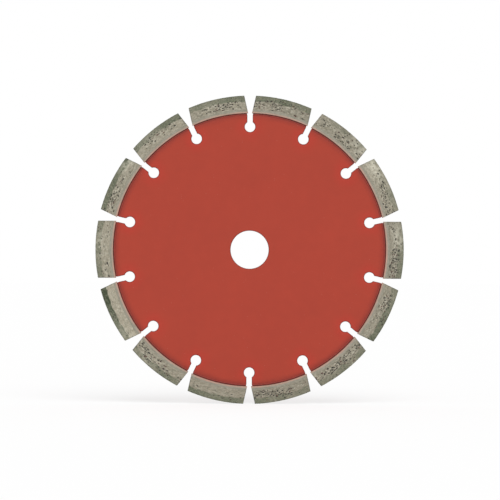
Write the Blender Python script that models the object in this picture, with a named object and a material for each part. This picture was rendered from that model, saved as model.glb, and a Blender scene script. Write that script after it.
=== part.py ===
# A 180 mm segmented diamond blade for cutting masonry and concrete.
# A thin steel core carries fourteen sintered segments, each welded to the rim by its plain foot.
# The blade stands upright: it spins on the Y axis, and one of its slots is at the top (+Z).
# All sizes are in metres.

import math

import bmesh
import bpy

# Overall
outer_diameter = 0.180
segment_count = 14

# Steel core
core_thickness = 0.0016
bore_diameter = 0.02223
bore_chamfer = 0.0002
slot_width = 0.0031
slot_depth = 0.0079           # from the inner edge of the segments to the keyhole's centre
keyhole_diameter = 0.0061

# Segments: height is along the radius, thickness across the blade
segment_height = 0.0103
segment_thickness = 0.0024
segment_gap = 0.0022          # between neighbours, at their inner edge, where it is narrowest
foot_height = 0.0020

# Weld between core and foot
seam_width = 0.0007
seam_crown = 0.0001

# Two pieces that are joined stop this far short of each other
joint_gap = 0.0003

# How finely the round outlines are divided
rim_steps = 6
segment_steps = 8
keyhole_steps = 12
bore_steps = 48

# Radii that follow from the sizes above, from the rim inwards
outer_radius = outer_diameter / 2
foot_inner_radius = outer_radius - segment_height
foot_outer_radius = foot_inner_radius + foot_height
layer_inner_radius = foot_outer_radius + joint_gap
seam_outer_radius = foot_inner_radius - joint_gap
seam_inner_radius = seam_outer_radius - seam_width
core_radius = seam_inner_radius - joint_gap
keyhole_circle_radius = foot_inner_radius - slot_depth

# A segment's ends are parallel to each other, so the gaps between segments open towards the rim
pitch = 2 * math.pi / segment_count
gap_half_angle = math.asin(segment_gap / 2 / foot_inner_radius)
segment_half_length = foot_inner_radius * math.sin(pitch / 2 - gap_half_angle)

# Colours are linear red, green and blue
finishes = {
    "core_paint": {"colour": (0.43, 0.068, 0.045), "roughness": 0.45, "metallic": 0.0},
    "painted_weld": {"colour": (0.30, 0.050, 0.035), "roughness": 0.55, "metallic": 0.0},
    "foot_bond": {"colour": (0.35, 0.32, 0.27), "roughness": 0.55, "metallic": 0.6},
    "diamond_bond": {"colour": (0.30, 0.28, 0.22), "roughness": 0.70, "metallic": 0.5},
}


def clear_scene():
    for thing in list(bpy.data.objects):
        bpy.data.objects.remove(thing, do_unlink=True)


def make_material(name):
    finish = finishes[name]
    material = bpy.data.materials.new(name)
    material.use_nodes = True
    shader = material.node_tree.nodes["Principled BSDF"]
    shader.inputs["Base Color"].default_value = (*finish["colour"], 1.0)
    shader.inputs["Roughness"].default_value = finish["roughness"]
    shader.inputs["Metallic"].default_value = finish["metallic"]
    return material


def on_circle(radius, angle):
    # An angle is counted clockwise from the top, as the blade is seen from its front (-Y) side
    return (radius * math.sin(angle), radius * math.cos(angle))


def turned(point, angle):
    # The same clockwise turn for a point given as (sideways, outwards)
    x, z = point
    return (
        x * math.cos(angle) + z * math.sin(angle),
        z * math.cos(angle) - x * math.sin(angle),
    )


def arc(radius, start, end, steps):
    # Points on a circle about the bore, both ends included
    return [on_circle(radius, start + (end - start) * i / steps) for i in range(steps + 1)]


def half_angle(radius, half_width):
    # How far round the blade a line parallel to the radius, half_width beside it, meets a circle
    return math.asin(half_width / radius)


def loft(name, sections):
    # A closed plate with an outline and perhaps a hole. A section is (y, outline, hole), and all
    # sections have the same number of points. The first and the last section are capped.
    mesh = bmesh.new()
    rings = []
    for y, outline, hole in sections:
        loops = [outline] if hole is None else [outline, hole]
        rings.append([[mesh.verts.new((x, y, z)) for x, z in loop] for loop in loops])
    for loops, next_loops in zip(rings, rings[1:]):
        for loop, next_loop in zip(loops, next_loops):
            for i, vertex in enumerate(loop):
                j = (i + 1) % len(loop)
                mesh.faces.new((vertex, loop[j], next_loop[j], next_loop[i]))
    for loops in (rings[0], rings[-1]):
        edges = []
        for loop in loops:
            for i, vertex in enumerate(loop):
                edges.append(mesh.edges.get((vertex, loop[(i + 1) % len(loop)])))
        bmesh.ops.triangle_fill(mesh, use_beauty=True, use_dissolve=False, edges=edges)
    bmesh.ops.recalc_face_normals(mesh, faces=mesh.faces[:])
    data = bpy.data.meshes.new(name)
    mesh.to_mesh(data)
    mesh.free()
    return data


def plate(name, outline, thickness):
    return loft(name, [(-thickness / 2, outline, None), (thickness / 2, outline, None)])


def slot_outline():
    # One keyhole slot at the top, from its left wall at the rim round the keyhole to its right wall
    half_width = slot_width / 2
    keyhole_radius = keyhole_diameter / 2
    mouth = math.asin(half_width / keyhole_radius)
    points = [on_circle(core_radius, -half_angle(core_radius, half_width))]
    for i in range(keyhole_steps + 1):
        angle = -mouth - (2 * math.pi - 2 * mouth) * i / keyhole_steps
        x, z = on_circle(keyhole_radius, angle)
        points.append((x, z + keyhole_circle_radius))
    points.append(on_circle(core_radius, half_angle(core_radius, half_width)))
    return points


def core_outline():
    # Slots joined by arcs of the rim, clockwise
    slot = slot_outline()
    edge = half_angle(core_radius, slot_width / 2)
    points = []
    for i in range(segment_count):
        angle = i * pitch
        points += [turned(point, angle) for point in slot]
        land = arc(core_radius, angle + edge, angle + pitch - edge, rim_steps)
        points += land[1:-1]
    return points


def bore_outline(radius):
    return [on_circle(radius, 2 * math.pi * i / bore_steps) for i in range(bore_steps)]


def core_mesh():
    # The bore is chamfered on both faces, so it has a wider ring at each face
    outline = core_outline()
    bore = bore_outline(bore_diameter / 2)
    mouth = bore_outline(bore_diameter / 2 + bore_chamfer)
    face = core_thickness / 2
    wall = face - bore_chamfer
    return loft(
        "steel_core",
        [
            (-face, outline, mouth),
            (-wall, outline, bore),
            (wall, outline, bore),
            (face, outline, mouth),
        ],
    )


def ring_block(low_radius, low_angle, high_radius, high_angle):
    # A block centred on the top of a ring, between two radii, each with its own half angle
    points = arc(high_radius, -high_angle, high_angle, segment_steps)
    points += arc(low_radius, low_angle, -low_angle, segment_steps)
    return points


def segment_block(low_radius, high_radius):
    low_angle = half_angle(low_radius, segment_half_length)
    high_angle = half_angle(high_radius, segment_half_length)
    return ring_block(low_radius, low_angle, high_radius, high_angle)


def seam_mesh():
    # A weld fills its land of the rim, and its ends are flush with the walls of the slots beside it
    low_angle = pitch / 2 - half_angle(seam_inner_radius, slot_width / 2)
    high_angle = pitch / 2 - half_angle(seam_outer_radius, slot_width / 2)
    outline = ring_block(seam_inner_radius, low_angle, seam_outer_radius, high_angle)
    return plate("weld_seam", outline, core_thickness + 2 * seam_crown)


def foot_mesh():
    outline = segment_block(foot_inner_radius, foot_outer_radius)
    return plate("segment_foot", outline, segment_thickness)


def layer_mesh():
    outline = segment_block(layer_inner_radius, outer_radius)
    return plate("diamond_segment", outline, segment_thickness)


def place(name, data, material, parent, angle=0.0):
    thing = bpy.data.objects.new(name, data)
    bpy.context.scene.collection.objects.link(thing)
    if not data.materials:
        data.materials.append(material)
    data.shade_smooth()
    data.set_sharp_from_angle(angle=math.radians(30))
    thing.parent = parent
    thing.rotation_euler = (0, angle, 0)
    return thing


def build_blade():
    # Everything hangs on one empty on the spin axis, at the middle of the bore
    axis = bpy.data.objects.new("spin_axis", None)
    bpy.context.scene.collection.objects.link(axis)
    place("steel_core", core_mesh(), make_material("core_paint"), axis)
    repeated = {
        "weld_seam": (seam_mesh(), make_material("painted_weld")),
        "segment_foot": (foot_mesh(), make_material("foot_bond")),
        "diamond_segment": (layer_mesh(), make_material("diamond_bond")),
    }
    for i in range(segment_count):
        for name, (data, material) in repeated.items():
            place(f"{name}_{i + 1:02d}", data, material, axis, (i + 0.5) * pitch)


clear_scene()
build_blade()
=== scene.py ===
import math

import bpy
import numpy as np
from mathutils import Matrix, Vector
from mathutils.geometry import delaunay_2d_cdt


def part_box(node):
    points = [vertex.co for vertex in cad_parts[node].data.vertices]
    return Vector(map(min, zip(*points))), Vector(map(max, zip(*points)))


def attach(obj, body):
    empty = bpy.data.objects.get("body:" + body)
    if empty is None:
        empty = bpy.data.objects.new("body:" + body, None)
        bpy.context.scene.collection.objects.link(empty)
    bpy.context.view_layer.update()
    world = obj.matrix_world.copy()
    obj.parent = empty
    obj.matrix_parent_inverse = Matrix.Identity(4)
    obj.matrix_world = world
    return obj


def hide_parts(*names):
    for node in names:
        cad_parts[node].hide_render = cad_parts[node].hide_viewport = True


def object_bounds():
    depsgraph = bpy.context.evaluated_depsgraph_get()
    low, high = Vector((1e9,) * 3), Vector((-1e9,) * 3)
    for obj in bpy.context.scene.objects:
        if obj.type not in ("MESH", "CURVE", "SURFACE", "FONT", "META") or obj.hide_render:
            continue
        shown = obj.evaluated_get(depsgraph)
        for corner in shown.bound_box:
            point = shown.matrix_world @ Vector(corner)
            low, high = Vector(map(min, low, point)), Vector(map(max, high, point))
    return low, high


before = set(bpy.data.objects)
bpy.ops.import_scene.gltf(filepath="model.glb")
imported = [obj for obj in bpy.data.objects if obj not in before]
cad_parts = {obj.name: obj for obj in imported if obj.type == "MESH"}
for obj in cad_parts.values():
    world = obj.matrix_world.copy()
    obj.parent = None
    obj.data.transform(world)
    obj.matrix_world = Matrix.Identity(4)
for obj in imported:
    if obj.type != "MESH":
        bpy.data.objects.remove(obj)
cadLow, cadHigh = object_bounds()
mm = 0.001
print("frame loaded")

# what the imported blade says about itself: node 04 points to +X, so its box holds its radii
outerRadius = cadHigh.x
segmentCount = sum(name.startswith("diamond_segment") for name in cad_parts)
pitch = 2 * math.pi / segmentCount
footLow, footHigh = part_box("segment_foot_04")
halfLength = footHigh.z
footInner = math.hypot(footLow.x, halfLength)
footOuter = footHigh.x
halfSegment = footHigh.y
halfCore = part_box("steel_core")[1].y
boreRadius = min(math.hypot(v.co.x, v.co.z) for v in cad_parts["steel_core"].data.vertices)


# smooth random values from -1 to 1, one for each point, that change over about one cell
def smoothNoise(points, cell, seed):
    size = 32       # the table repeats after this many cells
    table = np.random.default_rng(seed).uniform(-1, 1, (size, size, size))
    scaled = points / cell
    base = np.floor(scaled).astype(int)
    blend = scaled - base
    blend = blend * blend * (3 - 2 * blend)
    total = np.zeros(len(points))
    for corner in np.ndindex(2, 2, 2):
        weight = np.prod(np.where(corner, blend, 1 - blend), axis=1)
        i, j, k = ((base + corner) % size).T
        total += weight * table[i, j, k]
    return total


def turnAboutY(points, angle):
    c, s = math.cos(angle), math.sin(angle)
    x, y, z = points.T
    return np.stack([x * c + z * s, y, z * c - x * s], axis=1)


def makePiece(name, points, faces, material, masks=None):
    data = bpy.data.meshes.new(name)
    data.from_pydata(points.tolist(), [], [tuple(face) for face in faces])
    for label, values in (masks or {}).items():
        layer = data.attributes.new(label, "FLOAT", "POINT")
        layer.data.foreach_set("value", np.asarray(values, np.float32))
    data.materials.append(material)
    data.shade_smooth()
    piece = bpy.data.objects.new(name, data)
    bpy.context.scene.collection.objects.link(piece)
    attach(piece, "root")
    return piece


# positions along one side of a block: close together at both ends, where the edge is rounded
def sideSteps(length, step, rounding):
    count = max(2, round((length - 2 * rounding) / step))
    end = [0, 0.3 * rounding, 0.65 * rounding]
    middle = np.linspace(rounding, length - rounding, count + 1)
    return np.concatenate([end, middle, [length - e for e in reversed(end)]])


# the skin of a box as a lattice of points with quads between them, all facing out
def boxSkin(xs, zs, ys):
    grid = np.full((len(xs), len(zs), len(ys)), -1)
    skin = np.ones(grid.shape, bool)
    skin[1:-1, 1:-1, 1:-1] = False
    grid[skin] = np.arange(skin.sum())
    i, k, j = np.nonzero(skin)
    points = np.stack([xs[i], ys[j], zs[k]], axis=1)

    def quads(sheet):
        cells = [sheet[:-1, :-1], sheet[1:, :-1], sheet[1:, 1:], sheet[:-1, 1:]]
        return np.stack([c.ravel() for c in cells], axis=1)

    faces = [
        quads(grid[:, :, 0]),
        quads(grid[:, :, -1])[:, ::-1],
        quads(grid[:, -1, :]),
        quads(grid[:, 0, :])[:, ::-1],
        quads(grid[-1].T),
        quads(grid[0].T)[:, ::-1],
    ]
    return points, np.concatenate(faces)


# rounds a block's edges: gives for each point of its skin the centre it is rounded about and its normal
def roundBox(points, half, halfThick, height, rounding):
    rounding = np.asarray(rounding).reshape(-1, 1)
    low = np.array([-half, -halfThick, 0]) + rounding
    high = np.array([half, halfThick, height]) - rounding
    centre = np.clip(points, low, high)
    normal = points - centre
    normal /= np.linalg.norm(normal, axis=1, keepdims=True)
    return centre, normal


# bends a block that is straight along X onto the blade: Z counts from one circle to another
def bendToRing(points, height, lowRadius, highRadius):
    x, y, z = points.T
    low = np.sqrt(lowRadius ** 2 - x ** 2)
    high = np.sqrt(highRadius ** 2 - x ** 2)
    return np.stack([x, y, low + (high - low) * z / height], axis=1)


# shader groups, each built once and placed in several materials

def newGroup(name, inputs, outputs):
    tree = bpy.data.node_groups.new(name, "ShaderNodeTree")
    for label, kind, value in inputs:
        socket = tree.interface.new_socket(name=label, in_out="INPUT", socket_type="NodeSocket" + kind)
        if value is not None:
            socket.default_value = value
    for label, kind in outputs:
        tree.interface.new_socket(name=label, in_out="OUTPUT", socket_type="NodeSocket" + kind)
    return tree, tree.nodes.new("NodeGroupInput").outputs, tree.nodes.new("NodeGroupOutput").inputs


def feed(tree, target, source):
    # a source is a socket to link or a plain value
    if isinstance(source, bpy.types.NodeSocket):
        tree.links.new(source, target)
    else:
        target.default_value = source


def calc(tree, operation, a, b=0.0, c=0.0, clamp=False):
    node = tree.nodes.new("ShaderNodeMath")
    node.operation = operation
    node.use_clamp = clamp
    for target, source in zip(node.inputs, (a, b, c)):
        feed(tree, target, source)
    return node.outputs[0]


def remap(tree, value, fromLow, fromHigh, toLow=0.0, toHigh=1.0):
    node = tree.nodes.new("ShaderNodeMapRange")
    node.interpolation_type = "SMOOTHSTEP"
    for target, source in zip(node.inputs, (value, fromLow, fromHigh, toLow, toHigh)):
        feed(tree, target, source)
    return node.outputs[0]


def mixColour(tree, amount, a, b, blend="MIX"):
    node = tree.nodes.new("ShaderNodeMix")
    node.data_type = "RGBA"
    node.blend_type = blend
    feed(tree, node.inputs[0], amount)
    feed(tree, node.inputs[6], a)
    feed(tree, node.inputs[7], b)
    return node.outputs[2]


def noise(tree, vector, scale, detail=2.0, roughness=0.5):
    node = tree.nodes.new("ShaderNodeTexNoise")
    values = {"Vector": vector, "Scale": scale, "Detail": detail, "Roughness": roughness}
    for label, source in values.items():
        feed(tree, node.inputs[label], source)
    return node.outputs["Fac"]


def stretch(tree, vector, amounts):
    node = tree.nodes.new("ShaderNodeVectorMath")
    node.operation = "MULTIPLY"
    feed(tree, node.inputs[0], vector)
    feed(tree, node.inputs[1], amounts)
    return node.outputs[0]


def hypotenuse(tree, a, b):
    squares = [calc(tree, "MULTIPLY", side, side) for side in (a, b)]
    return calc(tree, "SQRT", calc(tree, "ADD", *squares))


def buildCoordinatesGroup(slot):
    # where a point of the blade is, in millimetres: its radius, how far it is from the nearest
    # slot's edge, and a vector unrolled along the rim
    tree, given, result = newGroup(
        "bladePlace",
        [("Vector", "Vector", None)],
        [("Radius", "Float"), ("Slot Distance", "Float"), ("Unrolled", "Vector")],
    )
    split = tree.nodes.new("ShaderNodeSeparateXYZ")
    tree.links.new(stretch(tree, given["Vector"], (1 / mm, 1 / mm, 1 / mm)), split.inputs[0])
    x, y, z = split.outputs
    radius = hypotenuse(tree, x, z)
    angle = calc(tree, "ARCTAN2", x, z)
    folded = calc(tree, "WRAP", angle, pitch / 2, -pitch / 2)
    across = calc(tree, "ABSOLUTE", calc(tree, "MULTIPLY", radius, calc(tree, "SINE", folded)))
    along = calc(tree, "MULTIPLY", radius, calc(tree, "COSINE", folded))
    below = calc(tree, "SUBTRACT", slot["circleRadius"] / mm, along)
    wall = calc(tree, "MAXIMUM", calc(tree, "SUBTRACT", across, slot["width"] / 2 / mm), 0.0)
    under = calc(tree, "MAXIMUM", below, 0.0)
    stem = hypotenuse(tree, wall, under)
    hole = calc(tree, "SUBTRACT", hypotenuse(tree, across, below), slot["keyholeDiameter"] / 2 / mm)
    join = tree.nodes.new("ShaderNodeCombineXYZ")
    feed(tree, join.inputs[0], calc(tree, "MULTIPLY", angle, outerRadius / mm))
    feed(tree, join.inputs[1], radius)
    feed(tree, join.inputs[2], y)
    tree.links.new(radius, result["Radius"])
    tree.links.new(calc(tree, "MINIMUM", stem, hole), result["Slot Distance"])
    tree.links.new(join.outputs[0], result["Unrolled"])
    return tree


def buildMottleGroup():
    # cloudy change of tone at two sizes
    tree, given, result = newGroup(
        "mottle",
        [("Vector", "Vector", None), ("Scale", "Float", 1.0), ("Contrast", "Float", 1.0)],
        [("Mask", "Float")],
    )
    broad = noise(tree, given["Vector"], given["Scale"], 3.0, 0.6)
    fine = noise(tree, given["Vector"], calc(tree, "MULTIPLY", given["Scale"], 5.0), 2.0, 0.5)
    both = calc(tree, "ADD", calc(tree, "MULTIPLY", broad, 0.6), calc(tree, "MULTIPLY", fine, 0.4))
    centred = calc(tree, "MULTIPLY", calc(tree, "SUBTRACT", both, 0.5), given["Contrast"])
    tree.links.new(calc(tree, "ADD", centred, 0.5, clamp=True), result["Mask"])
    return tree


def buildEdgeGroup():
    # a band along an edge, with a ragged inner border
    tree, given, result = newGroup(
        "raggedEdge",
        [
            ("Distance", "Float", 0.0),
            ("Width", "Float", 1.0),
            ("Ragged", "Float", 0.5),
            ("Vector", "Vector", None),
            ("Scale", "Float", 1.0),
        ],
        [("Mask", "Float")],
    )
    rough = calc(tree, "SUBTRACT", noise(tree, given["Vector"], given["Scale"], 3.0, 0.6), 0.5)
    reach = calc(tree, "MULTIPLY", given["Ragged"], 2.0)
    moved = calc(tree, "MULTIPLY_ADD", rough, reach, given["Distance"])
    tree.links.new(remap(tree, moved, 0.0, given["Width"], 1.0, 0.0), result["Mask"])
    return tree


def buildScratchGroup():
    # fine parallel marks, long along the vector's X
    tree, given, result = newGroup(
        "toolMarks",
        [("Vector", "Vector", None), ("Scale", "Float", 1.0), ("Length", "Float", 20.0)],
        [("Mask", "Float"), ("Height", "Float")],
    )
    squeeze = tree.nodes.new("ShaderNodeCombineXYZ")
    feed(tree, squeeze.inputs[0], calc(tree, "DIVIDE", 1.0, given["Length"]))
    feed(tree, squeeze.inputs[1], 1.0)
    feed(tree, squeeze.inputs[2], 1.0)
    long = stretch(tree, given["Vector"], squeeze.outputs[0])
    marks = noise(tree, long, given["Scale"], 4.0, 0.7)
    tree.links.new(remap(tree, marks, 0.35, 0.65), result["Mask"])
    tree.links.new(marks, result["Height"])
    return tree


def buildDustGroup():
    # sparse specks of dust or grit
    tree, given, result = newGroup(
        "specks",
        [
            ("Vector", "Vector", None),
            ("Scale", "Float", 1.0),
            ("Size", "Float", 0.15),
            ("Amount", "Float", 0.5),
        ],
        [("Mask", "Float")],
    )
    cells = tree.nodes.new("ShaderNodeTexVoronoi")
    feed(tree, cells.inputs["Vector"], given["Vector"])
    feed(tree, cells.inputs["Scale"], given["Scale"])
    core = calc(tree, "MULTIPLY", given["Size"], 0.5)
    spot = remap(tree, cells.outputs["Distance"], core, given["Size"], 1.0, 0.0)
    split = tree.nodes.new("ShaderNodeSeparateColor")
    tree.links.new(cells.outputs["Color"], split.inputs[0])
    chosen = calc(tree, "LESS_THAN", split.outputs[0], given["Amount"])
    tree.links.new(calc(tree, "MULTIPLY", spot, chosen), result["Mask"])
    return tree


def place(tree, group, **values):
    # puts a group into a material; each value goes to the input of that name
    node = tree.nodes.new("ShaderNodeGroup")
    node.node_tree = group
    for label, source in values.items():
        feed(tree, node.inputs[label], source)
    return node.outputs


def startMaterial(name):
    material = bpy.data.materials.new(name)
    material.use_nodes = True
    tree = material.node_tree
    shader = tree.nodes["Principled BSDF"]
    coordinates = tree.nodes.new("ShaderNodeTexCoord").outputs["Object"]
    return material, tree, shader.inputs, coordinates


def mask(tree, name):
    node = tree.nodes.new("ShaderNodeAttribute")
    node.attribute_name = name
    return node.outputs["Fac"]


def bump(tree, shader, height, distance, strength=1.0):
    node = tree.nodes.new("ShaderNodeBump")
    feed(tree, node.inputs["Height"], height)
    node.inputs["Distance"].default_value = distance
    node.inputs["Strength"].default_value = strength
    tree.links.new(node.outputs[0], shader["Normal"])


# a colour as it looks on screen, as linear values for a shader
def screenColour(red, green, blue):
    linear = []
    for level in (red / 255, green / 255, blue / 255):
        linear.append(level / 12.92 if level <= 0.04045 else ((level + 0.055) / 1.055) ** 2.4)
    return (*linear, 1.0)


coreLook = {
    "slotWidth": 3.1 * mm,
    "slotDepth": 7.9 * mm,           # from the feet's inner edge to the keyhole's centre
    "keyholeDiameter": 6.1 * mm,
    "edgeRounding": 0.22 * mm,
    "stemSteps": 18,                 # how finely slots, keyholes, rim and bore are divided
    "keyholeSteps": 48,
    "rimSteps": 40,
    "boreSteps": 180,
    "paint": screenColour(171, 64, 47),
    "paintDeep": screenColour(159, 60, 45),
    "slotPaint": screenColour(180, 56, 44),
    "rimDarker": screenColour(132, 51, 42),
    # dark red: painted shade along the cut edges on the faces, and the darker tone of the bare steel walls
    "edgeShadeAndDarkSteel": screenColour(112, 32, 24),
    "wallSteel": screenColour(92, 60, 52),
    "dust": screenColour(196, 150, 136),
}

slotShape = {
    "width": coreLook["slotWidth"],
    "keyholeDiameter": coreLook["keyholeDiameter"],
    "circleRadius": footInner - coreLook["slotDepth"],
}

bladePlace = buildCoordinatesGroup(slotShape)
mottle = buildMottleGroup()
raggedEdge = buildEdgeGroup()
toolMarks = buildScratchGroup()
specks = buildDustGroup()
print("shader groups built")


def paintedSteel():
    # red paint on the faces with painted shade along the cut edges, bare cut steel with a breath of paint on
    # the walls of bore and slots
    look = coreLook
    material, tree, shader, at = startMaterial("corePaint")
    spot = place(tree, bladePlace, Vector=at)
    radius, unrolled = spot["Radius"], spot["Unrolled"]
    cloud = place(tree, mottle, Vector=at, Scale=35.0, Contrast=1.3)["Mask"]
    colour = mixColour(tree, cloud, look["paintDeep"], look["paint"])
    near = place(
        tree, raggedEdge, Distance=spot["Slot Distance"], Width=7.0, Ragged=3.0, Vector=at, Scale=120.0
    )["Mask"]
    colour = mixColour(tree, calc(tree, "MULTIPLY", near, 0.45), colour, look["slotPaint"])
    # the paint is darker towards the feet, over the last 4.6 mm
    fromRim = calc(tree, "SUBTRACT", footInner / mm, radius)
    rim = place(tree, raggedEdge, Distance=fromRim, Width=4.6, Ragged=1.2, Vector=at, Scale=160.0)["Mask"]
    colour = mixColour(tree, calc(tree, "MULTIPLY", rim, 0.75), colour, look["rimDarker"])
    # painted shade: a dark line on the face along the cut edges of the slots and the bore
    line = place(
        tree, raggedEdge, Distance=spot["Slot Distance"], Width=0.65, Ragged=0.12, Vector=at, Scale=900.0
    )["Mask"]
    boreGap = calc(tree, "SUBTRACT", radius, boreRadius / mm)
    boreEdgeShade = place(
        tree, raggedEdge, Distance=boreGap, Width=0.6, Ragged=0.1, Vector=at, Scale=700.0
    )["Mask"]
    edges = calc(tree, "MULTIPLY", calc(tree, "MAXIMUM", line, boreEdgeShade), 0.9)
    colour = mixColour(tree, edges, colour, look["edgeShadeAndDarkSteel"])
    dust = place(tree, specks, Vector=at, Scale=900.0, Size=0.16, Amount=0.05)["Mask"]
    colour = mixColour(tree, calc(tree, "MULTIPLY", dust, 0.35), colour, look["dust"])
    wall = mask(tree, "wall")
    cutMarks = place(tree, mottle, Vector=at, Scale=1200.0, Contrast=1.6)["Mask"]
    # the same dark colour is also the darker part of the bare steel on the walls
    steel = mixColour(tree, cutMarks, look["edgeShadeAndDarkSteel"], look["wallSteel"])
    feed(tree, shader["Base Color"], mixColour(tree, wall, colour, steel))
    feed(tree, shader["Metallic"], calc(tree, "MULTIPLY", wall, 0.5))
    feed(tree, shader["Roughness"], calc(tree, "MULTIPLY_ADD", cloud, 0.12, 0.44))
    shader["Specular IOR Level"].default_value = 0.2
    peel = noise(tree, at, 1400.0, 2.0, 0.5)
    marks = place(tree, toolMarks, Vector=unrolled, Scale=3.0, Length=30.0)["Height"]
    height = calc(tree, "MULTIPLY_ADD", marks, 0.35, peel)
    bump(tree, shader, height, 0.012 * mm)
    return material


beadLook = {
    "innerRadius": 78.5 * mm,
    "overlap": 0.08 * mm,
    "ripplePitch": 0.42 * mm,
    "rippleHeight": 0.030 * mm,
    "crown": 0.07 * mm,
    "undercut": 0.22 * mm,
    "paint": screenColour(152, 55, 43),
    # painted shade in the dark line beside the foot's step
    "shade": screenColour(98, 36, 28),
    "scorch": screenColour(66, 38, 32),
}


def paintedWeld():
    look = beadLook
    material, tree, shader, at = startMaterial("weldPaint")
    spot = place(tree, bladePlace, Vector=at)
    fromFoot = calc(tree, "SUBTRACT", footInner / mm, spot["Radius"])
    # painted shade: the bead darkens towards the foot's step
    dark = place(tree, raggedEdge, Distance=fromFoot, Width=1.0, Ragged=0.5, Vector=at, Scale=220.0)["Mask"]
    colour = mixColour(tree, dark, look["paint"], look["shade"])
    tint = place(tree, mottle, Vector=at, Scale=300.0, Contrast=2.2)["Mask"]
    colour = mixColour(tree, calc(tree, "MULTIPLY", tint, 0.35), colour, look["scorch"])
    feed(tree, shader["Base Color"], colour)
    feed(tree, shader["Roughness"], calc(tree, "MULTIPLY_ADD", tint, 0.2, 0.45))
    shader["Specular IOR Level"].default_value = 0.3
    bump(tree, shader, noise(tree, at, 2500.0, 3.0, 0.6), 0.010 * mm)
    return material


footLook = {
    "rounding": 0.10 * mm,
    "step": 0.30 * mm,
    "metal": screenColour(163, 157, 143),
    "metalDark": screenColour(122, 120, 104),
    "mistAndHighlight": screenColour(206, 158, 140),    # paint mist with a painted highlight on the edge beside the core
    # painted shade on the foot's rounded edges and its inner lip
    "edge": screenColour(116, 74, 62),
}


def plainFoot():
    look = footLook
    material, tree, shader, at = startMaterial("footMetal")
    spot = place(tree, bladePlace, Vector=at)
    marks = place(tree, toolMarks, Vector=spot["Unrolled"], Scale=2.2, Length=14.0)
    cloud = place(tree, mottle, Vector=at, Scale=600.0, Contrast=3.0)["Mask"]
    blend = calc(tree, "MULTIPLY_ADD", marks["Mask"], 0.4, calc(tree, "MULTIPLY", cloud, 0.6))
    colour = mixColour(tree, blend, look["metalDark"], look["metal"])
    fromCore = calc(tree, "SUBTRACT", spot["Radius"], footInner / mm)
    # paint mist with a painted highlight: a pale pink band on the foot beside the core
    mistAndHighlightMask = place(tree, raggedEdge, Distance=fromCore, Width=1.35, Ragged=0.4, Vector=at, Scale=300.0)["Mask"]
    drift = place(tree, mottle, Vector=at, Scale=70.0, Contrast=4.0)["Mask"]
    mistAndHighlightMask = calc(tree, "MULTIPLY", mistAndHighlightMask, calc(tree, "MULTIPLY_ADD", drift, 0.6, 0.35))
    colour = mixColour(tree, mistAndHighlightMask, colour, look["mistAndHighlight"])
    # painted shade: a dark band along the inner edge beside the core, and on the rounded edges
    lipShade = place(tree, raggedEdge, Distance=fromCore, Width=0.42, Ragged=0.15, Vector=at, Scale=500.0)["Mask"]
    lipShade = calc(tree, "MAXIMUM", lipShade, mask(tree, "arrisShade"))
    colour = mixColour(tree, calc(tree, "MULTIPLY", lipShade, 0.75), colour, look["edge"])
    feed(tree, shader["Base Color"], colour)
    shader["Metallic"].default_value = 0.35
    feed(tree, shader["Roughness"], calc(tree, "MULTIPLY_ADD", cloud, 0.2, 0.45))
    height = calc(tree, "ADD", marks["Height"], calc(tree, "MULTIPLY", noise(tree, at, 3000.0), 0.5))
    bump(tree, shader, height, 0.010 * mm)
    return material


layerLook = {
    "rounding": 0.14 * mm,
    "step": 0.20 * mm,
    "seamWave": 0.14 * mm,           # how uneven the line between foot and working layer is
    "bandDepth": 3.3 * mm,           # a darker greenish strip along the outer edge
    "bond": screenColour(160, 155, 140),
    "bondWarm": screenColour(150, 141, 122),
    "bondDark": screenColour(104, 102, 86),
    "outerStrip": screenColour(116, 119, 98),
    "outerStripDark": screenColour(86, 90, 72),
    "outerStripDeep": screenColour(58, 66, 44),
    "pale": screenColour(206, 202, 184),
    "pit": screenColour(44, 41, 34),
    "rust": screenColour(98, 52, 42),        # in some of the open pores
    # painted shade on the rounded edges and along the ends
    "edge": screenColour(62, 60, 50),
}


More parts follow.
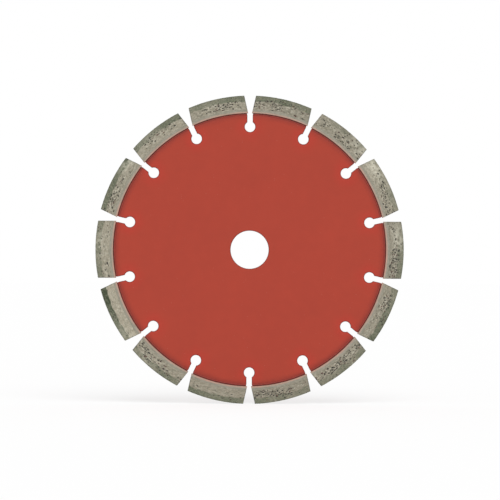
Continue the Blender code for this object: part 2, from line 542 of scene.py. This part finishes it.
def sinteredBond():
    look = layerLook
    material, tree, shader, at = startMaterial("sinteredBond")
    unrolled = place(tree, bladePlace, Vector=at)["Unrolled"]
    cloud = place(tree, mottle, Vector=unrolled, Scale=0.55, Contrast=1.8)["Mask"]
    colour = mixColour(tree, cloud, look["bondWarm"], look["bond"])
    marks = place(tree, toolMarks, Vector=unrolled, Scale=2.4, Length=5.0)
    streak = calc(tree, "MULTIPLY", calc(tree, "SUBTRACT", 1.0, marks["Mask"]), 0.45)
    colour = mixColour(tree, streak, colour, look["bondDark"])
    blotches = noise(tree, stretch(tree, unrolled, (0.55, 1.0, 1.0)), 1.25, 3.0, 0.65)
    crowd = mask(tree, "crowd")
    darkest = calc(tree, "MULTIPLY_ADD", crowd, 0.38, 0.45)
    darker = calc(tree, "MULTIPLY", remap(tree, blotches, 0.48, 0.64), darkest)
    colour = mixColour(tree, darker, colour, look["bondDark"])
    lightest = calc(tree, "MULTIPLY_ADD", crowd, 0.3, 0.22)
    lighter = calc(tree, "MULTIPLY", remap(tree, blotches, 0.48, 0.34), lightest)
    colour = mixColour(tree, lighter, colour, look["pale"])
    tone = tree.nodes.new("ShaderNodeCombineColor")
    for socket in tone.inputs:
        feed(tree, socket, mask(tree, "tone"))
    colour = mixColour(tree, 1.0, colour, tone.outputs[0], "MULTIPLY")
    grain = remap(tree, noise(tree, at, 2600.0, 3.0, 0.7), 0.35, 0.65)
    green = mixColour(tree, grain, look["outerStripDark"], look["outerStrip"])
    band = mask(tree, "band")
    colour = mixColour(tree, calc(tree, "MINIMUM", band, 1.0), colour, green)
    colour = mixColour(tree, calc(tree, "SUBTRACT", band, 1.0, clamp=True), colour, look["outerStripDeep"])
    colour = mixColour(tree, calc(tree, "MULTIPLY", mask(tree, "pale"), 0.8), colour, look["pale"])
    powder = place(tree, specks, Vector=at, Scale=1500.0, Size=0.3, Amount=0.25)["Mask"]
    colour = mixColour(tree, calc(tree, "MULTIPLY", powder, 0.35), colour, look["pale"])
    # painted shade on the rounded edges and the ends of the segment
    colour = mixColour(tree, calc(tree, "MULTIPLY", mask(tree, "arrisShade"), 0.8), colour, look["edge"])
    rusty = calc(tree, "MULTIPLY", remap(tree, noise(tree, at, 420.0), 0.55, 0.65), 0.6)
    colour = mixColour(tree, mask(tree, "pit"), colour, mixColour(tree, rusty, look["pit"], look["rust"]))
    feed(tree, shader["Base Color"], colour)
    feed(tree, shader["Metallic"], calc(tree, "MULTIPLY_ADD", mask(tree, "pit"), -0.3, 0.3))
    feed(tree, shader["Roughness"], calc(tree, "MULTIPLY_ADD", grain, 0.2, 0.55))
    height = calc(tree, "ADD", marks["Height"], grain)
    bump(tree, shader, height, 0.014 * mm)
    return material


gritLook = {
    "size": 0.21 * mm,               # from a crystal's middle to its corners
    "onRim": 110,
    "onFace": 22,
    "sunk": 0.45,                    # how much of that size lies under the surface
    "crystal": screenColour(176, 168, 118),
    "crystalDark": screenColour(96, 92, 62),
}


def diamondCrystal():
    look = gritLook
    material, tree, shader, at = startMaterial("diamondCrystal")
    cells = tree.nodes.new("ShaderNodeTexVoronoi")
    feed(tree, cells.inputs["Vector"], at)
    cells.inputs["Scale"].default_value = 1600.0
    split = tree.nodes.new("ShaderNodeSeparateColor")
    tree.links.new(cells.outputs["Color"], split.inputs[0])
    colour = mixColour(tree, split.outputs[0], look["crystalDark"], look["crystal"])
    feed(tree, shader["Base Color"], colour)
    feed(tree, shader["Roughness"], calc(tree, "MULTIPLY_ADD", split.outputs[1], 0.25, 0.12))
    shader["IOR"].default_value = 1.9
    return material


# the core: points of its outline, moved inwards by inset, clockwise from the top slot's left wall

def arcPoints(radius, start, end, steps):
    turns = np.linspace(start, end, steps + 1)
    return np.stack([radius * np.sin(turns), radius * np.cos(turns)], axis=1)


def coreOutline(inset, rimRadius):
    half = coreLook["slotWidth"] / 2 + inset
    keyhole = coreLook["keyholeDiameter"] / 2 + inset
    circle = slotShape["circleRadius"]
    rim = rimRadius - inset
    mouth = math.asin(half / keyhole)
    neck = circle + keyhole * math.cos(mouth)
    top = math.sqrt(rim ** 2 - half ** 2)
    stem = np.linspace(neck, top, coreLook["stemSteps"])
    left = np.stack([np.full(len(stem), -half), stem[::-1]], axis=1)
    hole = arcPoints(keyhole, -mouth, mouth - 2 * math.pi, coreLook["keyholeSteps"]) + [0, circle]
    right = np.stack([np.full(len(stem), half), stem], axis=1)
    edge = math.asin(half / rim)
    land = arcPoints(rim, edge, pitch - edge, coreLook["rimSteps"])
    one = np.concatenate([left, hole[1:-1], right, land[1:-1]])
    turns = []
    for i in range(segmentCount):
        c, s = math.cos(i * pitch), math.sin(i * pitch)
        turns.append(np.stack([one[:, 0] * c + one[:, 1] * s, one[:, 1] * c - one[:, 0] * s], axis=1))
    return np.concatenate(turns)


# edge loops down one rounded edge, through the wall and up the other edge: (inset, y)
def wallSections(halfThickness, rounding, rows):
    flat = halfThickness - rounding
    turns = [math.pi / 2, math.pi / 3, math.pi / 6]
    top = [(rounding * (1 - math.cos(t)), flat + rounding * math.sin(t)) for t in turns]
    wall = [(0.0, y) for y in np.linspace(flat, -flat, rows)]
    return top + wall + [(inset, -y) for inset, y in reversed(top)]


def facePoints(rimRadius):
    # a polar net for the flat of each face, clear of the bore and the slots
    points = []
    for radius in np.arange(boreRadius + 1.0 * mm, rimRadius - 0.8 * mm, 1.7 * mm):
        count = int(2 * math.pi * radius / (1.9 * mm))
        points.append(arcPoints(radius, 0.0, 2 * math.pi * (1 - 1 / count), count - 1))
    points = np.concatenate(points)
    turn = np.arctan2(points[:, 0], points[:, 1])
    folded = (turn + pitch / 2) % pitch - pitch / 2
    radius = np.hypot(*points.T)
    across, along = np.abs(radius * np.sin(folded)), radius * np.cos(folded)
    clear = 0.7 * mm
    inStem = (across < coreLook["slotWidth"] / 2 + clear) & (along > slotShape["circleRadius"])
    inHole = np.hypot(across, along - slotShape["circleRadius"]) < coreLook["keyholeDiameter"] / 2 + clear
    return points[~(inStem | inHole)]


def buildCore(material):
    rimRadius = beadLook["innerRadius"] + beadLook["overlap"]
    rounding = coreLook["edgeRounding"]
    sections = wallSections(halfCore, rounding, 6)
    boreSteps = coreLook["boreSteps"]
    points, faces, wall = [], [], []
    outerCount = len(coreOutline(0.0, rimRadius))
    ringCount = outerCount + boreSteps
    for inset, y in sections:
        outer = coreOutline(inset, rimRadius)
        bore = arcPoints(boreRadius + inset, 0.0, 2 * math.pi * (1 - 1 / boreSteps), boreSteps - 1)
        loop = np.concatenate([outer, bore])
        points.append(np.stack([loop[:, 0], np.full(len(loop), y), loop[:, 1]], axis=1))
        wall.append(np.full(len(loop), 1.0 - inset / rounding))
    for row in range(len(sections) - 1):
        for start, count, flip in ((0, outerCount, False), (outerCount, boreSteps, True)):
            i = np.arange(count)
            j = (i + 1) % count
            low, high = row * ringCount + start, (row + 1) * ringCount + start
            quad = np.stack([low + i, high + i, high + j, low + j], axis=1)
            faces += (quad[:, ::-1] if flip else quad).tolist()
    net = facePoints(rimRadius)
    total = ringCount * len(sections)
    for row, facing in ((0, 1), (len(sections) - 1, -1)):
        ring = points[row][:, [0, 2]]
        flat = [Vector(p) for p in np.concatenate([ring, net])]
        loops = [list(range(outerCount)), list(range(ringCount - 1, outerCount - 1, -1))]
        edges = [(a, loop[(n + 1) % len(loop)]) for loop in loops for n, a in enumerate(loop)]
        made = delaunay_2d_cdt(flat, edges, [], 1, 1e-7)
        spots, triangles, origin = made[0], made[2], made[3]
        netStart = total + len(net) * (facing < 0)
        index = []
        for source in origin:
            onRing = [s for s in source if s < ringCount]
            if onRing:
                index.append(row * ringCount + onRing[0])
            else:
                index.append(netStart + source[0] - ringCount)
        for a, b, c in triangles:
            middle = (spots[a] + spots[b] + spots[c]) / 3
            if not insideCore(middle, rimRadius):
                continue
            trio = [index[a], index[b], index[c]]
            area = (spots[b] - spots[a]).cross(spots[c] - spots[a])
            faces.append(trio if (area > 0) == (facing < 0) else trio[::-1])
        face = np.stack([net[:, 0], np.full(len(net), facing * halfCore), net[:, 1]], axis=1)
        points.append(face)
    points = np.concatenate(points)
    wall = np.concatenate(wall + [np.zeros(2 * len(net))])
    points, wall = dressCore(points, wall)
    core = makePiece("corePlate", points, faces, material, {"wall": wall})
    core.data.set_sharp_from_angle(angle=math.radians(50))
    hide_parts("steel_core")
    return core


# is this point of a face on steel, and not over the bore or a slot
def insideCore(point, rimRadius):
    inset = coreLook["edgeRounding"] * 0.995     # a little less, so the outline itself is steel
    radius = point.length
    if radius < boreRadius + inset or radius > rimRadius:
        return False
    turn = math.atan2(point.x, point.y)
    folded = (turn + pitch / 2) % pitch - pitch / 2
    across, along = abs(radius * math.sin(folded)), radius * math.cos(folded)
    if along > slotShape["circleRadius"] and across < coreLook["slotWidth"] / 2 + inset:
        return False
    gap = math.hypot(across, along - slotShape["circleRadius"])
    return gap > coreLook["keyholeDiameter"] / 2 + inset


def dressCore(points, wall):
    # the plate is a little out of flat, and its cut walls are slightly ribbed
    flat = points * [1, 0, 1]
    points[:, 1] += 0.02 * mm * smoothNoise(flat, 22 * mm, 5)
    ribs = smoothNoise(points * [1, 0.12, 1], 0.34 * mm, 6)
    radius = np.hypot(points[:, 0], points[:, 2])
    push = 0.022 * mm * ribs * (wall > 0.5)
    points[:, [0, 2]] *= (1 + push / radius)[:, None]
    return points, np.clip(wall * 1.6, 0, 1)


def buildBead(number, material):
    look = beadLook
    turn = (number - 0.5) * pitch
    low, high = look["innerRadius"], footInner + look["overlap"]
    height = high - low
    half = low * math.sin(pitch / 2 - math.asin(coreLook["slotWidth"] / 2 / low))
    rounding = 0.10 * mm
    xs = sideSteps(2 * half, 0.14 * mm, rounding) - half
    zs = sideSteps(height, 0.10 * mm, rounding)
    ys = sideSteps(2 * halfCore, 0.4 * mm, rounding) - halfCore
    points, faces = boxSkin(xs, zs, ys)
    centre, normal = roundBox(points, half, halfCore, height, rounding)
    x, z = points[:, 0], points[:, 2]
    across = z / height
    # each ripple is a crescent that lags in the middle of the bead
    wander = 0.5 * smoothNoise(points * [1, 0, 0] + [0, 0, number * mm], 2.5 * mm, 11)
    phase = (x + 0.35 * mm * (2 * across - 1) ** 2) / look["ripplePitch"] + wander
    ripple = (1 - np.abs(2 * (phase % 1.0) - 1)) ** 0.7 * look["rippleHeight"]
    crown = look["crown"] * np.sin(np.pi * np.clip(across * 1.5, 0, 1))
    undercut = -look["undercut"] * np.clip((across - 0.62) / 0.25, 0, 1) ** 1.5
    lift = ripple + crown + undercut + 0.012 * mm * smoothNoise(points, 0.5 * mm, 12)
    lift *= np.abs(normal[:, 1])
    points = centre + normal * (rounding + lift)[:, None]
    points = bendToRing(points, height, low, high)
    bead = makePiece(f"weldBead_{number:02d}", turnAboutY(points, turn), faces, material)
    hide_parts(f"weld_seam_{number:02d}")
    return bead


# the uneven border between a segment's plain foot and its working layer
def seamRadius(x, number):
    spots = np.stack([x, np.zeros_like(x), np.full_like(x, number * mm)], axis=1)
    return footOuter + 0.15 * mm + layerLook["seamWave"] * smoothNoise(spots, 3.0 * mm, 21)


def buildFoot(number, material):
    look = footLook
    turn = (number - 0.5) * pitch
    height = footOuter - footInner
    rounding = look["rounding"]
    xs = sideSteps(2 * halfLength, look["step"], rounding) - halfLength
    zs = sideSteps(height, 0.25 * mm, rounding)
    ys = sideSteps(2 * halfSegment, look["step"], rounding) - halfSegment
    points, faces = boxSkin(xs, zs, ys)
    x, z = points[:, 0], points[:, 2]
    shift = points + [0, 0, number * 7 * mm]
    soft = rounding * (1 + 0.35 * smoothNoise(shift, 1.2 * mm, 31))
    soft = np.where(z > height * 0.6, 0.03 * mm, soft)
    centre, normal = roundBox(points, halfLength, halfSegment, height, soft)
    lift = 0.006 * mm * smoothNoise(shift, 0.5 * mm, 32) + 0.012 * mm * smoothNoise(shift, 4 * mm, 33)
    # painted shade on the rounded edges, below the top of the foot
    arrisShade = np.clip((1 - np.abs(normal).max(axis=1)) * 4, 0, 1) * (z < height * 0.8)
    points = centre + normal * (soft + lift)[:, None]
    points = bendToRing(points, height, footInner, seamRadius(points[:, 0], number))
    foot = makePiece(f"plainFoot_{number:02d}", turnAboutY(points, turn), faces, material, {"arrisShade": arrisShade})
    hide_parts(f"segment_foot_{number:02d}")
    return foot


# each segment's own face: darker outer strip, how far the strip leans to one end, pores, where they gather
# along it, pale patch, where that lies, and how light the bond is
segmentFaces = {
    1: (1.05, 0.0, 0.80, 0.0, 0.0, 0.0, 0.97),
    2: (0.25, 0.0, 0.80, -0.2, 0.6, 0.8, 1.00),
    3: (0.35, 0.0, 0.70, 0.3, 1.0, -0.7, 1.12),
    4: (0.65, 0.3, 0.95, 0.4, 0.7, -0.4, 0.94),
    5: (1.00, 0.4, 0.60, -0.5, 0.1, 0.0, 1.00),
    6: (0.60, 0.0, 0.95, 0.0, 0.0, 0.0, 1.00),
    7: (0.70, 0.2, 0.80, 0.4, 0.0, 0.0, 0.93),
    8: (0.90, 0.0, 0.12, 0.0, 0.1, 0.0, 1.03),
    9: (0.70, 0.0, 0.65, 0.1, 0.3, 0.4, 1.05),
    10: (1.50, 0.8, 0.0, 0.0, 0.4, -0.9, 1.30),
    11: (0.75, -0.1, 0.25, -0.6, 0.5, 0.2, 1.15),
    12: (1.15, 0.4, 0.60, -0.4, 0.6, 0.9, 1.10),
    13: (0.90, 0.0, 0.35, 0.0, 0.2, -0.5, 1.11),
    14: (0.90, 0.2, 0.60, 0.1, 0.1, 0.0, 1.06),
}

poreLook = {
    "clusters": 17,
    "perCluster": 6,
    "spread": (2.6 * mm, 0.75 * mm),     # of a cluster, along the rim and along the radius
    "lone": 34,
    "length": (0.32 * mm, 0.90 * mm),    # half the length, along the rim
    "width": (0.21 * mm, 0.46 * mm),     # half the width, along the radius
    "depth": (0.12 * mm, 0.32 * mm),
    "nearest": 0.75,                     # how close two pores may be: 1 where they just touch
}


# open pores of one face as rows of (x, z, half length, half width, depth)
def scatterPores(random, amount, side, height):
    look = poreLook
    spots = []
    for _ in range(round(look["clusters"] * amount)):
        cx = np.clip(random.normal(side * halfLength * 0.7, halfLength * 0.55), -halfLength, halfLength)
        cz = random.normal(0.42, 0.17) * height
        for _ in range(random.integers(2, 2 * look["perCluster"] - 1)):
            dx, dz = random.normal(0, 1, 2) * look["spread"]
            spots.append((cx + dx, cz + dz, random.uniform(0.65, 1.2)))
    for _ in range(round(look["lone"] * (0.4 + 0.6 * amount))):
        spots.append((random.uniform(-halfLength, halfLength), random.uniform(0.1, 1.0) * height, 0.6))
    pores = []
    for x, z, size in spots:
        if abs(x) > halfLength or not 0.04 * height < z < 1.02 * height:
            continue
        length = random.uniform(*look["length"]) * size
        width = random.uniform(*look["width"]) * size
        depth = random.uniform(*look["depth"]) * size
        # two pores hardly ever run into one
        gaps = [((x - p[0]) / (length + p[2])) ** 2 + ((z - p[1]) / (width + p[3])) ** 2 for p in pores]
        if min(gaps, default=1) > look["nearest"]:
            pores.append((x, z, length, width, depth))
    return pores


def sinkPores(points, pores, ragged, onFace):
    # how deep each point lies in a pore, how dark it is, and how crowded with pores its place is
    depth, dark, crowd = np.zeros((3, len(points)))
    for x, z, length, width, deep in pores:
        near = np.flatnonzero(
            onFace & (np.abs(points[:, 0] - x) < 1.6 * length) & (np.abs(points[:, 2] - z) < 1.6 * width)
        )
        gap = ((points[near, 0] - x) / length) ** 2 + ((points[near, 2] - z) / width) ** 2
        bowl = np.clip(1 - gap - 0.45 * ragged[near], 0, 1) ** 0.7
        depth[near] = np.maximum(depth[near], bowl * deep)
        dark[near] = np.maximum(dark[near], np.clip(bowl * 2.0, 0, 1))
        apart = ((points[:, 0] - x) / (2.0 * mm)) ** 2 + ((points[:, 2] - z) / (0.9 * mm)) ** 2
        crowd += 0.45 * np.exp(-apart) * onFace
    return depth, dark, np.clip(crowd, 0, 1)


def buildLayer(number, material, gritMaterial):
    look = layerLook
    band, lean, amount, side, patch, patchSide, tone = segmentFaces[number]
    random = np.random.default_rng(100 + number)
    turn = (number - 0.5) * pitch
    height = outerRadius - footOuter
    rounding = look["rounding"]
    xs = sideSteps(2 * halfLength, look["step"], rounding) - halfLength
    zs = sideSteps(height, look["step"], rounding)
    ys = sideSteps(2 * halfSegment, look["step"], rounding) - halfSegment
    points, faces = boxSkin(xs, zs, ys)
    x, y, z = points.T
    shift = points + [0, 0, number * 11 * mm]
    chips = smoothNoise(shift, 0.9 * mm, 41) + 0.6 * smoothNoise(shift, 0.4 * mm, 42)
    soft = rounding * np.clip(1 + 0.55 * chips, 0.35, 2.2)
    soft = np.where(z < 0.3 * mm, 0.03 * mm, soft)
    centre, normal = roundBox(points, halfLength, halfSegment, height, soft)
    facing = np.abs(normal[:, 1])
    # tone masks
    wave = smoothNoise(shift * [1, 0, 0] + [0, 0, number * mm], 4 * mm, 43)
    stripEdge = height - look["bandDepth"] + 0.5 * mm * wave
    strip = np.clip((z - stripEdge) / (0.5 * mm) + 0.5, 0, 1)
    along = x / halfLength
    strip *= np.clip(band + lean * along + 0.35 * smoothNoise(shift, 6 * mm, 44), 0, 2)
    topShade = np.clip((z - height + 0.9 * mm) / (0.9 * mm), 0, 1) * 0.3
    # the strip's inner border is a darker, broken line
    broken = np.clip(0.3 + smoothNoise(shift, 2 * mm, 53), 0, 1)
    border = np.exp(-((z - stripEdge) / (0.3 * mm)) ** 2) * broken
    topShade = topShade + 1.1 * band * border
    bandMask = np.clip(strip * (0.85 + 0.35 * smoothNoise(shift, 0.6 * mm, 45)) + topShade, 0, 2)
    patchPlace = np.exp(-((along - patchSide) / 0.45) ** 2 - ((z - 0.65 * height) / (0.4 * height)) ** 2)
    palePatch = patch * patchPlace * np.clip(0.55 + smoothNoise(shift, 1.3 * mm, 46), 0, 1)
    palePatch += 0.5 * patch * patchPlace * np.clip(smoothNoise(shift, 0.5 * mm, 47), 0, 1)
    # pores on the two faces, small ones on the rim and the ends
    ragged = smoothNoise(shift, 0.28 * mm, 48)
    sunk = np.zeros((3, len(points)))
    for onFace in (y < -halfSegment * 0.98, y > halfSegment * 0.98):
        pores = scatterPores(random, amount, side, height)
        sunk = np.maximum(sunk, sinkPores(points, pores, ragged, onFace))
    depth, dark, crowd = sunk
    edgeRough = np.clip(smoothNoise(shift, 0.45 * mm, 49) - 0.35, 0, 1) * (1 - facing)
    depth += edgeRough * 0.14 * mm
    dark = np.clip(dark + edgeRough * 1.2, 0, 1)
    lift = 0.010 * mm * smoothNoise(shift, 0.4 * mm, 50) + 0.02 * mm * smoothNoise(shift, 3 * mm, 51)
    lift += (1 - facing) * 0.03 * mm * smoothNoise(shift, 0.6 * mm, 52)
    lift -= strip * facing * 0.05 * mm
    # painted shade on the rounded edges
    arrisShade = np.clip((1 - np.abs(normal).max(axis=1)) * 4, 0, 1)
    # painted shade along the ends, in a broken line
    endShade = np.clip(1 - (halfLength - np.abs(x)) / (0.6 * mm), 0, 1)
    endShade *= np.clip(0.7 + smoothNoise(shift, 1.1 * mm, 54), 0, 1)
    arrisShade = np.maximum(arrisShade * (z > 0.5 * mm), endShade)
    points = centre + normal * (soft + lift - depth)[:, None]
    bent = bendToRing(points, height, seamRadius(points[:, 0], number), outerRadius)
    layer = makePiece(
        f"workingLayer_{number:02d}",
        turnAboutY(bent, turn),
        faces,
        material,
        {
            "band": bandMask,
            "pit": dark,
            "pale": np.clip(palePatch, 0, 1),
            "arrisShade": arrisShade,
            "crowd": crowd,
            "tone": np.full(len(points), tone),
        },
    )
    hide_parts(f"diamond_segment_{number:02d}")
    buildGrit(number, random, height, turn, gritMaterial)
    return layer


# a diamond crystal is a cube with its corners cut off: twelve corners, eight triangles, six squares
crystalCorners = np.array([
    (1, 1, 0), (-1, 1, 0), (-1, -1, 0), (1, -1, 0), (1, 0, 1), (-1, 0, 1),
    (-1, 0, -1), (1, 0, -1), (0, 1, 1), (0, -1, 1), (0, -1, -1), (0, 1, -1),
]) / math.sqrt(2)


def crystalFaces():
    faces = []
    for signs in np.ndindex(2, 2, 2):
        outward = np.array(signs) * 2 - 1
        faces.append((outward, [i for i, c in enumerate(crystalCorners) if c @ outward > 1.4]))
    for axis in range(3):
        for sign in (1, -1):
            outward = np.eye(3)[axis] * sign
            faces.append((outward, [i for i, c in enumerate(crystalCorners) if c @ outward > 0.7]))
    ordered = []
    for outward, corners in faces:
        middle = crystalCorners[corners].mean(axis=0)
        first = crystalCorners[corners[0]] - middle
        second = np.cross(outward / np.linalg.norm(outward), first)
        arms = crystalCorners[corners] - middle
        turn = [math.atan2(arm @ second, arm @ first) for arm in arms]
        ordered.append([c for _, c in sorted(zip(turn, corners))])
    return ordered


def randomTurn(random):
    a, b, c = random.normal(size=(3, 3))
    a /= np.linalg.norm(a)
    b -= a * (a @ b)
    b /= np.linalg.norm(b)
    return np.stack([a, b, np.cross(a, b)])


def buildGrit(number, random, height, turn, material):
    look = gritLook
    shape = crystalFaces()
    spots = []
    edge = 0.4 * mm
    reach = halfLength - edge
    for _ in range(look["onRim"]):
        x = random.uniform(-reach, reach)
        y = random.uniform(-1, 1) * (halfSegment - edge)
        spots.append((x, y, height, 2))
    for face in (-1, 1):
        for _ in range(look["onFace"]):
            x = random.uniform(-reach, reach)
            z = random.uniform(edge, height - edge)
            spots.append((x, face * halfSegment, z, 1))
    points, faces = [], []
    for x, y, z, axis in spots:
        size = look["size"] * random.uniform(0.75, 1.15)
        corners = crystalCorners @ randomTurn(random).T * size
        spot = np.array([x, y, z])
        spot[axis] -= math.copysign(look["sunk"] * size * random.uniform(0.8, 1.7), spot[axis])
        faces += [[len(points) * len(crystalCorners) + c for c in face] for face in shape]
        points.append(corners + spot)
    points = np.concatenate(points)
    bent = bendToRing(points, height, footOuter, outerRadius)
    grit = makePiece(f"diamondGrit_{number:02d}", turnAboutY(bent, turn), faces, material)
    grit.data.shade_flat()
    return grit


corePaint = paintedSteel()
weldPaint = paintedWeld()
footMetal = plainFoot()
layerBond = sinteredBond()
crystal = diamondCrystal()
print("materials built")

buildCore(corePaint)
print("core built")
for number in range(1, segmentCount + 1):
    buildBead(number, weldPaint)
    buildFoot(number, footMetal)
    buildLayer(number, layerBond, crystal)
print("segments built")


# the studio
studio = {
    "viewWidth": 291.9 * mm,         # how much of the blade's plane the picture is wide
    "lens": 200.0,
    "aim": (0.245 * mm, -0.15 * mm), # the picture's middle, right of and above the blade's
    "roll": -0.21,                   # degrees
    "worldLight": 0.62,
    "sunLight": 1.65,
    "sunSoftness": 45.0,
    "sunTurn": (38.0, 0.0, 14.0),
    "floorSize": 6.0,
    "floorKeepsShadow": 0.3,
}


def whiteToEye(tree):
    # 1 for camera, mirror and see-through rays, 0 for the rays that carry light
    path = tree.nodes.new("ShaderNodeLightPath")
    seen = calc(tree, "MAXIMUM", path.outputs["Is Camera Ray"], path.outputs["Is Glossy Ray"])
    return calc(tree, "MAXIMUM", seen, path.outputs["Is Transmission Ray"])


def buildWorld():
    world = bpy.data.worlds.new("studioWorld")
    bpy.context.scene.world = world
    world.use_nodes = True
    tree = world.node_tree
    background = tree.nodes["Background"]
    background.inputs["Color"].default_value = (1, 1, 1, 1)
    light = studio["worldLight"]
    strength = calc(tree, "MULTIPLY_ADD", whiteToEye(tree), 1 - light, light)
    feed(tree, background.inputs["Strength"], strength)


def buildFloor():
    size = studio["floorSize"]
    data = bpy.data.meshes.new("floor")
    corners = [(-size, -size), (size, -size), (size, size), (-size, size)]
    data.from_pydata([(x, y, cadLow.z) for x, y in corners], [], [(0, 1, 2, 3)])
    floor = bpy.data.objects.new("floor", data)
    bpy.context.scene.collection.objects.link(floor)
    material, tree, shader, at = startMaterial("paleFloor")
    shader["Base Color"].default_value = (0.95, 0.95, 0.95, 1)
    shader["Roughness"].default_value = 0.9
    shader["Specular IOR Level"].default_value = 0.0
    glow = tree.nodes.new("ShaderNodeEmission")
    glow.inputs["Strength"].default_value = 1.0
    blend = tree.nodes.new("ShaderNodeMixShader")
    seen = calc(tree, "MULTIPLY", whiteToEye(tree), 1 - studio["floorKeepsShadow"])
    feed(tree, blend.inputs[0], seen)
    tree.links.new(tree.nodes["Principled BSDF"].outputs[0], blend.inputs[1])
    tree.links.new(glow.outputs[0], blend.inputs[2])
    tree.links.new(blend.outputs[0], tree.nodes["Material Output"].inputs[0])
    data.materials.append(material)


def buildLight():
    lamp = bpy.data.lights.new("softSun", "SUN")
    lamp.energy = studio["sunLight"]
    lamp.angle = math.radians(studio["sunSoftness"])
    sun = bpy.data.objects.new("softSun", lamp)
    sun.rotation_euler = [math.radians(a) for a in studio["sunTurn"]]
    bpy.context.scene.collection.objects.link(sun)


def buildCamera():
    # a long lens square on to the front face
    data = bpy.data.cameras.new("camera")
    data.lens = studio["lens"]
    data.sensor_width = 36.0
    data.clip_start = 0.05
    data.clip_end = 50.0
    camera = bpy.data.objects.new("camera", data)
    middle = (cadLow + cadHigh) / 2
    distance = studio["viewWidth"] * studio["lens"] / data.sensor_width
    right, up = studio["aim"]
    camera.location = (middle.x + right, cadLow.y - distance, middle.z + up)
    camera.rotation_euler = (math.pi / 2, math.radians(studio["roll"]), 0)
    bpy.context.scene.collection.objects.link(camera)
    bpy.context.scene.camera = camera


buildWorld()
buildFloor()
buildLight()
buildCamera()
bpy.context.scene.view_settings.view_transform = "Standard"
print("studio built")
